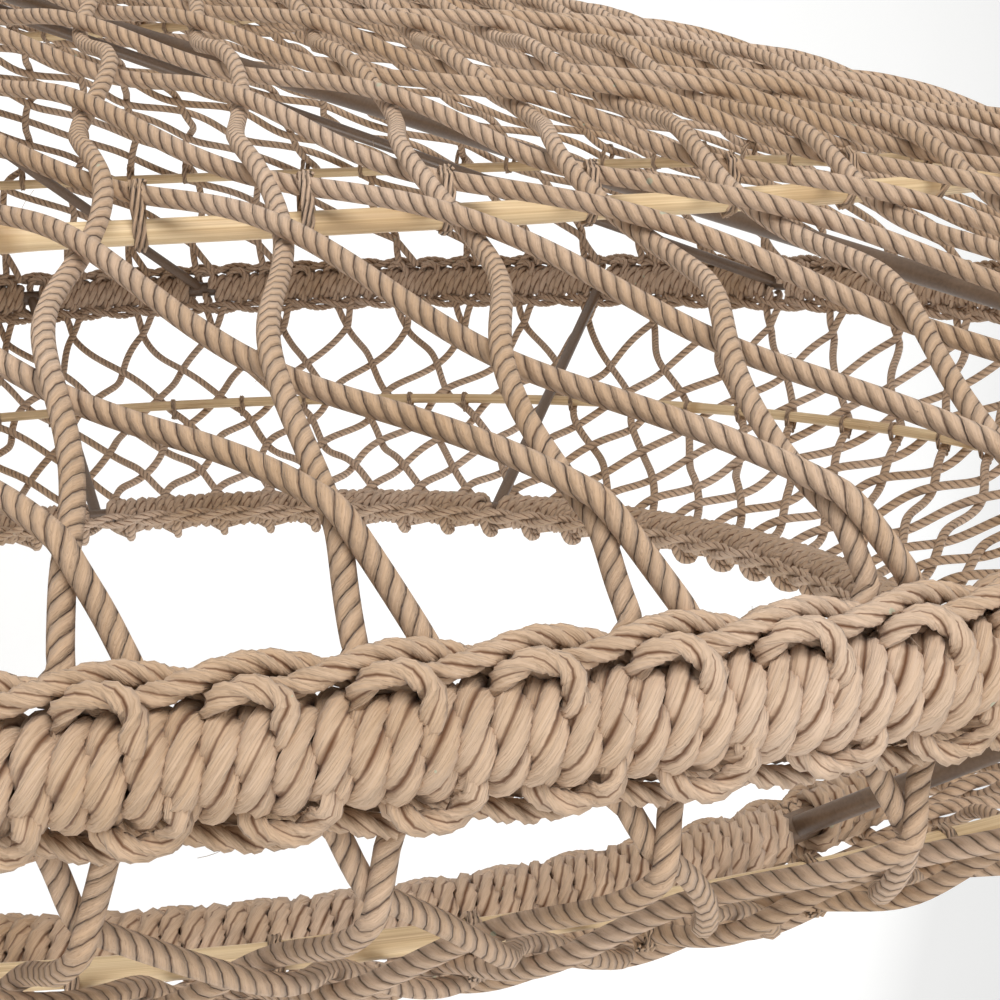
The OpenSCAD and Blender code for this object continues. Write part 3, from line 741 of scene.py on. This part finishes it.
def end_turn(length, side, direction, sizes):
    """The last of a cord, round the mouth hoop's winding or the back ring's."""
    if side == BACK:
        share, y, shift, reach = RING_SHARE, RING_Y, RING_SHIFT, RING_WRAP_R
        first, turn = 60, 210
    else:
        share, y, shift, reach = MOUTH_SHARE, MOUTH_Y, MOUTH_SHIFT, WRAP_R
        first, turn = 70, 150
    sunk = np.linspace(0, 1, END_POINTS) ** 2
    lifted = reach + sizes.net_cord * ((0.5 + 0.3 * direction) * (1 - sunk) - 0.7 * sunk)
    angle = np.radians(np.linspace(first, first + turn, END_POINTS))
    l = length + np.linspace(0, direction * 4 * MM, END_POINTS)
    x, z = outline(l)
    centre = np.stack([x * share, np.full_like(x, y), z * share + shift], axis=-1)
    out = outward(l)
    return centre + out * (np.cos(angle) * lifted)[:, None] + \
        np.array(UP_Y) * (np.sin(angle) * lifted * side)[:, None]


def twist_along(path, lay, start):
    """Turns of the plies at each point of a path."""
    run = np.linalg.norm(np.diff(path, axis=0), axis=1)
    return np.concatenate(([0.0], np.cumsum(run / lay))) + start


def net_piece(name, node, numbers, side, sizes, steps):
    """The cords of a net that leave the hoop at some of the places round it, in both directions."""
    paths = [evenly(net_cord(i, d, side, sizes), steps, 0.5) for i in numbers for d in (1, -1)]
    turns = [twist_along(p, sizes.net_lay, 0.37 * k) for k, p in enumerate(paths)]
    lines = line_object(name, paths, turns)
    grown(lines, Kit.trees["lines"], Radius=sizes.net_cord / 2 - 0.2 * MM, Groove=0.0, Sides=8, Carved=0.0,
          Material=Kit.finishes["net_cord"])
    finished(lines, "net_cord", node)


class CHAIR_OT_nets(bpy.types.Operator):
    """Weaves the two diamond nets, each of cords that cross over and under one another"""
    bl_idname = "chair.nets"
    bl_label = "Nets"

    def execute(self, context):
        sizes = context.scene.chair_sizes
        for side, label, parts, steps in ((BACK, "back", 6, (2.0 * MM, 5.2 * MM)),
                                          (FRONT, "front", 3, (3.0 * MM, 5.0 * MM))):
            share = sizes.cords_round // parts
            for part in range(parts):
                numbers = range(part * share, (part + 1) * share)
                net_piece(f"{label}_net_{part + 1}", f"{label}_net", numbers, side, sizes, steps)
        return {"FINISHED"}


# ---------------------------------------------------------------- hitches and lashings

def smooth_path(corners, count):
    """A smooth path through a few points."""
    p = np.array(corners, dtype=float)
    p = np.concatenate([[2 * p[0] - p[1]], p, [2 * p[-1] - p[-2]]])
    out = []
    for k in range(1, len(p) - 2):
        t = np.linspace(0, 1, count, endpoint=False)[:, None]
        a, b, c, d = p[k - 1:k + 3]
        out.append(0.5 * (2 * b + (c - a) * t + (2 * a - 5 * b + 4 * c - d) * t ** 2
                          + (3 * b - a - 3 * c + d) * t ** 3))
    return np.concatenate(out + [p[-2:-1]])


# One hitch in millimetres, and how far its corners may lie from their places: along the hoop, away from its
# plane, outward
HITCH = ((6.2, 6.0, 0.8), (6.6, 9.0, 2.8), (5.9, 11.6, 4.6), (3.3, 13.4, 5.4), (-0.4, 13.8, 5.4),
         (-3.6, 12.6, 6.0), (-5.3, 10.4, 6.8), (-5.8, 7.8, 7.4), (-5.7, 5.4, 7.2), (-5.4, 3.6, 5.6))
HITCH_SLACK = (0.9, 0.6, 0.5)

# Corners beyond the first height are slack; on the front side those beyond the second lie a little deeper
SLACK_FROM = 8.5 * MM
SUNK_FROM = 10 * MM
FRONT_SUNK = 1.2 * MM

# Half of the stretch under the hanger's bracket that has no hitches
NO_HITCH_HALF = 50 * MM


def hitch_paths(side, count, phase):
    """Hitches spread round the main hoop, outside it and, mirrored, inside it."""
    paths = []
    for k in range(count):
        middle = (k + phase) * ROUND_LEN / count
        for face in (1, -1):
            slack = np.sin((k + 0.4 * face) * np.array([12.9, 78.2, 37.7]) + side)
            corners = np.array(HITCH) * MM
            corners += slack * np.array(HITCH_SLACK) * MM * (corners[:, 1:2] > SLACK_FROM)
            l = middle + corners[:, 0] * face
            x, z = outline(l)
            sunk = FRONT_SUNK * (corners[:, 1] > SUNK_FROM) if side == FRONT else 0
            centre = np.stack([x, side * (corners[:, 1] - sunk), z], axis=-1)
            out = (corners[:, 2] - sunk) * face
            paths.append(smooth_path(placed(centre + outward(l) * out[:, None]), 2))
    return paths


def under_bracket(path):
    """Whether a hitch would sit under the hanger's bracket."""
    middle = path[len(path) // 2]
    return abs(middle[0]) <= NO_HITCH_HALF and middle[2] >= HOOP_Z


class CHAIR_OT_hitches(bpy.types.Operator):
    """Ties the borders to the main hoop with a fat hitch every few turns"""
    bl_idname = "chair.hitches"
    bl_label = "Hitches"

    def execute(self, context):
        sizes = context.scene.chair_sizes
        count = 2 * sizes.cords_round
        for label, side, phase in (("back", BACK, BACK_HITCH), ("front", FRONT, FRONT_HITCH)):
            clear = [p for p in hitch_paths(side, count, phase) if not under_bracket(p)]
            turns = [twist_along(p, HITCH_LAY, 0.23 * k) for k, p in enumerate(clear)]
            lines = line_object(f"{label}_hitches", clear, turns)
            grown(lines, Kit.trees["lines"], Radius=2.6 * MM, Groove=0.42, Sides=9,
                  Material=Kit.finishes["wrap_cord"])
            finished(lines, "wrap_cord")
        return {"FINISHED"}


# The node of each rattan hoop, its share of the main hoop and its side
POLES = (("rattan_hoop_back", 0.85, BACK), ("rattan_hoop_middle", 0.5, BACK), ("rattan_hoop_front", 0.85, FRONT))


# Where on the outline each pole's ends meet, and how far they lie over each other
JOINED_AT = 0.2
OVERLAP = 60 * MM


def pole_place(node, share):
    """The plane, the shift and the shrinking of a rattan hoop, read from the frame."""
    low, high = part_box(node)
    y = (low[1] + high[1]) / 2 - HOOP_Y
    thick = high[1] - low[1]
    inside = LOW_R * share - ((high[0] - low[0]) - thick) / 2
    shift = low[2] + thick / 2 + LOW_R * share - inside - HOOP_Z
    return y, shift, inside


class CHAIR_OT_rattan(bpy.types.Operator):
    """Bends rattan poles into the hoops that lie inside the nets"""
    bl_idname = "chair.rattan"
    bl_label = "Rattan hoops"

    def execute(self, context):
        sizes = context.scene.chair_sizes
        for node, share, side in POLES:
            y, shift, inside = pole_place(node, share)
            path = ring_path(JOINED_AT - OVERLAP / share, JOINED_AT + ROUND_LEN, share, y, shift, inside)
            lines = line_object(node + "_pole", [path])
            grown(lines, Kit.trees["pole"], Radius=sizes.rattan / 2, Material=Kit.finishes["rattan"])
            finished(lines, "rattan", node)
        return {"FINISHED"}


LASHING_POINTS = 21
LASHING_SLACK = 0.4 * MM


def lashing(pole, index, crossing, sizes):
    """Two turns of thin cord round a pole and the net cord that crosses it."""
    centre = pole[index]
    tangent = unit(pole[(index + 3) % len(pole)] - pole[index - 3])
    towards = crossing - centre
    towards = towards - tangent * np.dot(towards, tangent)
    gap = np.linalg.norm(towards)
    towards = towards / gap
    aside = np.cross(tangent, towards)
    reach = (gap + sizes.net_cord / 2 + sizes.rattan / 2) / 2 + LASHING_SLACK
    middle = reach - sizes.rattan / 2 - LASHING_SLACK
    angle = np.linspace(0, 4 * math.pi, LASHING_POINTS)[:, None]
    slide = np.linspace(-1.3, 1.3, LASHING_POINTS)[:, None] * MM
    return centre + towards * (middle + np.cos(angle) * reach) + \
        aside * (np.sin(angle) * (sizes.rattan / 2 + 0.5 * MM)) + tangent * slide


class CHAIR_OT_lashings(bpy.types.Operator):
    """Lashes the rattan hoops to the nets where cords cross over them"""
    bl_idname = "chair.lashings"
    bl_label = "Lashings"

    def execute(self, context):
        sizes = context.scene.chair_sizes
        for node, share, side in POLES:
            y, shift, inside = pole_place(node, share)
            pole = ring_path(0, ROUND_LEN, share, y, shift, inside, MM)
            paths = []
            for k in range(sizes.cords_round):
                cord = net_cord(k, 1, side, sizes)
                apart = np.linalg.norm(cord[:, None, :] - pole[None, ::4, :], axis=2)
                on_cord, on_pole = np.unravel_index(np.argmin(apart), apart.shape)
                paths.append(lashing(pole, on_pole * 4, cord[on_cord], sizes))
            turns = [twist_along(p, LASHING_LAY, 0.31 * k) for k, p in enumerate(paths)]
            lines = line_object(node + "_lashings", paths, turns)
            grown(lines, Kit.trees["lines"], Radius=1.2 * MM, Groove=0.3, Sides=6,
                  Material=Kit.finishes["net_cord"])
            finished(lines, "net_cord")
        return {"FINISHED"}


# ---------------------------------------------------------------- stray fibres

# Pieces that stray fibres stand on, and how many each has
HAIRY = {"main_winding_a": 520, "main_winding_b": 480, "back_border_pair_a": 160, "back_border_pair_b": 160,
         "front_border_pair_a": 120, "front_border_pair_b": 120, "back_hitches": 200, "front_hitches": 160}
HAIRY.update({f"back_net_{k}": 90 for k in range(1, 7)})
FIBRE_R = 0.055 * MM
FIBRE_STEPS = (0.0, 0.35, 0.7, 1.0)


class CHAIR_OT_fibres(bpy.types.Operator):
    """Lets short stray fibres of paper stand off the cords"""
    bl_idname = "chair.fibres"
    bl_label = "Stray fibres"

    def execute(self, context):
        rng = np.random.default_rng(11)
        paths = []
        for name, count in HAIRY.items():
            mesh = bpy.data.objects[name].data
            where = np.empty(len(mesh.vertices) * 3)
            facing = np.empty(len(mesh.vertices) * 3)
            mesh.vertices.foreach_get("co", where)
            mesh.vertex_normals.foreach_get("vector", facing)
            pick = rng.choice(len(mesh.vertices), count, replace=False)
            root, up = where.reshape(-1, 3)[pick], facing.reshape(-1, 3)[pick]
            lean = unit(0.7 * up + 0.6 * rng.normal(size=(count, 3)))
            curl = unit(rng.normal(size=(count, 3)))
            size = rng.uniform(1.5, 4.5, (count, 1)) * MM
            steps = [root - up * 0.3 * MM + size * (lean * t + curl * 0.45 * t * t) for t in FIBRE_STEPS]
            paths += list(np.stack(steps, axis=1))
        lines = line_object("stray_fibres", paths)
        grown(lines, Kit.trees["lines"], Radius=FIBRE_R, Groove=0.0, Sides=3, Material=Kit.finishes["wrap_cord"])
        finished(lines, "wrap_cord")
        return {"FINISHED"}


# ---------------------------------------------------------------- steel

class CHAIR_OT_steel(bpy.types.Operator):
    """Gives the steel, zinc and bronze parts of the frame their finishes"""
    bl_idname = "chair.steel"
    bl_label = "Steel finishes"

    def execute(self, context):
        slots = {part["node"]: part["material_slot"] for part in frame["record"]["subparts"]}
        for name, obj in frame["nodes"].items():
            obj.data.materials.clear()
            obj.data.materials.append(Kit.finishes[slots[name]])
        return {"FINISHED"}


# ---------------------------------------------------------------- stage

FLOOR_Z = -1.62

# The camera's place from the hoop's centre, its angles in radians and its lens in millimetres
CAMERA_PLACE = (-551.2 * MM, 99.8 * MM, 676.0 * MM)
CAMERA_DOWN = 0.1891
CAMERA_ASIDE = -0.6762
CAMERA_ROLL = -0.0398
LENS = 67.8


def seen_ray(n):
    """One where the camera, a mirror or glass sees the surface, and nought where light is gathered."""
    path = n.tree.nodes.new("ShaderNodeLightPath")
    either = n.math("MAXIMUM", path.outputs["Is Camera Ray"], path.outputs["Is Glossy Ray"])
    return n.math("MAXIMUM", either, path.outputs["Is Transmission Ray"])


def lamp(name, place, aim, size, power):
    """A round area lamp that shines at a point."""
    data = bpy.data.lights.new(name, "AREA")
    data.shape = "DISK"
    data.size = size
    data.energy = power
    obj = bpy.data.objects.new(name, data)
    turn = (Vector(aim) - Vector(place)).to_track_quat("-Z", "Y").to_matrix().to_4x4()
    obj.matrix_world = Matrix.Translation(place) @ turn
    bpy.context.scene.collection.objects.link(obj)


class CHAIR_OT_stage(bpy.types.Operator):
    """Sets the floor, the lamps, the pale background and the camera"""
    bl_idname = "chair.stage"
    bl_label = "Stage"

    def execute(self, context):
        scene = context.scene
        scene.view_settings.view_transform = "Standard"
        world = bpy.data.worlds.new("studio")
        world.use_nodes = True
        scene.world = world
        n = Nodes(world.node_tree)
        ground = world.node_tree.nodes["Background"]
        ground.inputs["Color"].default_value = (1.0, 1.0, 1.0, 1.0)
        seen = seen_ray(n)
        strength = n("ShaderNodeMapRange", seen, 0.0, 1.0, 0.62, 1.0)
        n.tree.links.new(strength, ground.inputs["Strength"])

        bpy.ops.mesh.primitive_circle_add(vertices=96, radius=14, fill_type="NGON", location=(0, 0, 0))
        floor = bpy.context.object
        floor.name = "floor"
        for vertex in floor.data.vertices:
            vertex.co.z = FLOOR_Z
        paint, n, shader = material("floor", 0.9, Specular_IOR_Level=0.1)
        tone = n("ShaderNodeTexNoise", n("ShaderNodeTexCoord", out=3), 3.0, 2.0, 0.5)
        wired(n, shader, mixed(n, tone, (0.80, 0.80, 0.79), (0.84, 0.84, 0.83)))
        shader.inputs["Emission Color"].default_value = (1.0, 1.0, 1.0, 1.0)
        glow = n("ShaderNodeMapRange", seen_ray(n), 0.0, 1.0, 0.0, 0.22)
        n.tree.links.new(glow, shader.inputs["Emission Strength"])
        floor.data.materials.append(paint)

        middle = (0.0, 0.0, HOOP_Z)
        lamp("key", (-1.3, -1.9, 0.9), middle, 1.6, 34)
        lamp("fill", (2.2, -1.4, -0.2), middle, 1.8, 14)
        lamp("rear", (-1.1, 1.9, 0.9), middle, 1.6, 52)

        data = bpy.data.cameras.new("camera")
        data.lens = LENS
        data.sensor_width = 36.0
        data.clip_start = 0.01
        camera = bpy.data.objects.new("camera", data)
        level = Vector((math.cos(CAMERA_ASIDE), 0.0, math.sin(CAMERA_ASIDE)))
        forward = level * math.cos(CAMERA_DOWN) - Vector(UP_Y) * math.sin(CAMERA_DOWN)
        right = level.cross(Vector(UP_Y))
        turn = Matrix((right, right.cross(forward), -forward)).transposed().to_4x4()
        place = Vector(CAMERA_PLACE) + Vector((0.0, HOOP_Y, HOOP_Z))
        camera.matrix_world = Matrix.Translation(place) @ turn @ Matrix.Rotation(CAMERA_ROLL, 4, "Z")
        scene.collection.objects.link(camera)
        scene.camera = camera
        return {"FINISHED"}


# ---------------------------------------------------------------- panel and start

STEPS = ("windings", "borders", "hitches", "nets", "rattan", "lashings", "fibres", "steel", "stage")


class CHAIR_PT_panel(bpy.types.Panel):
    """Lists the chair's sizes, colours and steps"""
    bl_idname = "CHAIR_PT_panel"
    bl_label = "Egg chair"
    bl_space_type = "VIEW_3D"
    bl_region_type = "UI"
    bl_category = "Egg chair"

    def draw(self, context):
        for holder in (context.scene.chair_sizes, context.scene.chair_colours):
            box = self.layout.box()
            for name in holder.__annotations__:
                box.prop(holder, name)
        for step in STEPS:
            self.layout.operator("chair." + step)


CLASSES = (ChairSizes, ChairColours, CHAIR_OT_windings, CHAIR_OT_borders, CHAIR_OT_hitches, CHAIR_OT_nets,
           CHAIR_OT_rattan, CHAIR_OT_lashings, CHAIR_OT_fibres, CHAIR_OT_steel, CHAIR_OT_stage, CHAIR_PT_panel)


def register():
    for cls in CLASSES:
        bpy.utils.register_class(cls)
    bpy.types.Scene.chair_sizes = bpy.props.PointerProperty(type=ChairSizes)
    bpy.types.Scene.chair_colours = bpy.props.PointerProperty(type=ChairColours)


def unregister():
    del bpy.types.Scene.chair_sizes
    del bpy.types.Scene.chair_colours
    for cls in reversed(CLASSES):
        bpy.utils.unregister_class(cls)


def main():
    register()
    prepare(bpy.context)
    for step in STEPS:
        if getattr(bpy.ops.chair, step)() != {"FINISHED"}:
            raise RuntimeError(f"chair.{step} didn't finish")


if __name__ == "__main__":
    main()
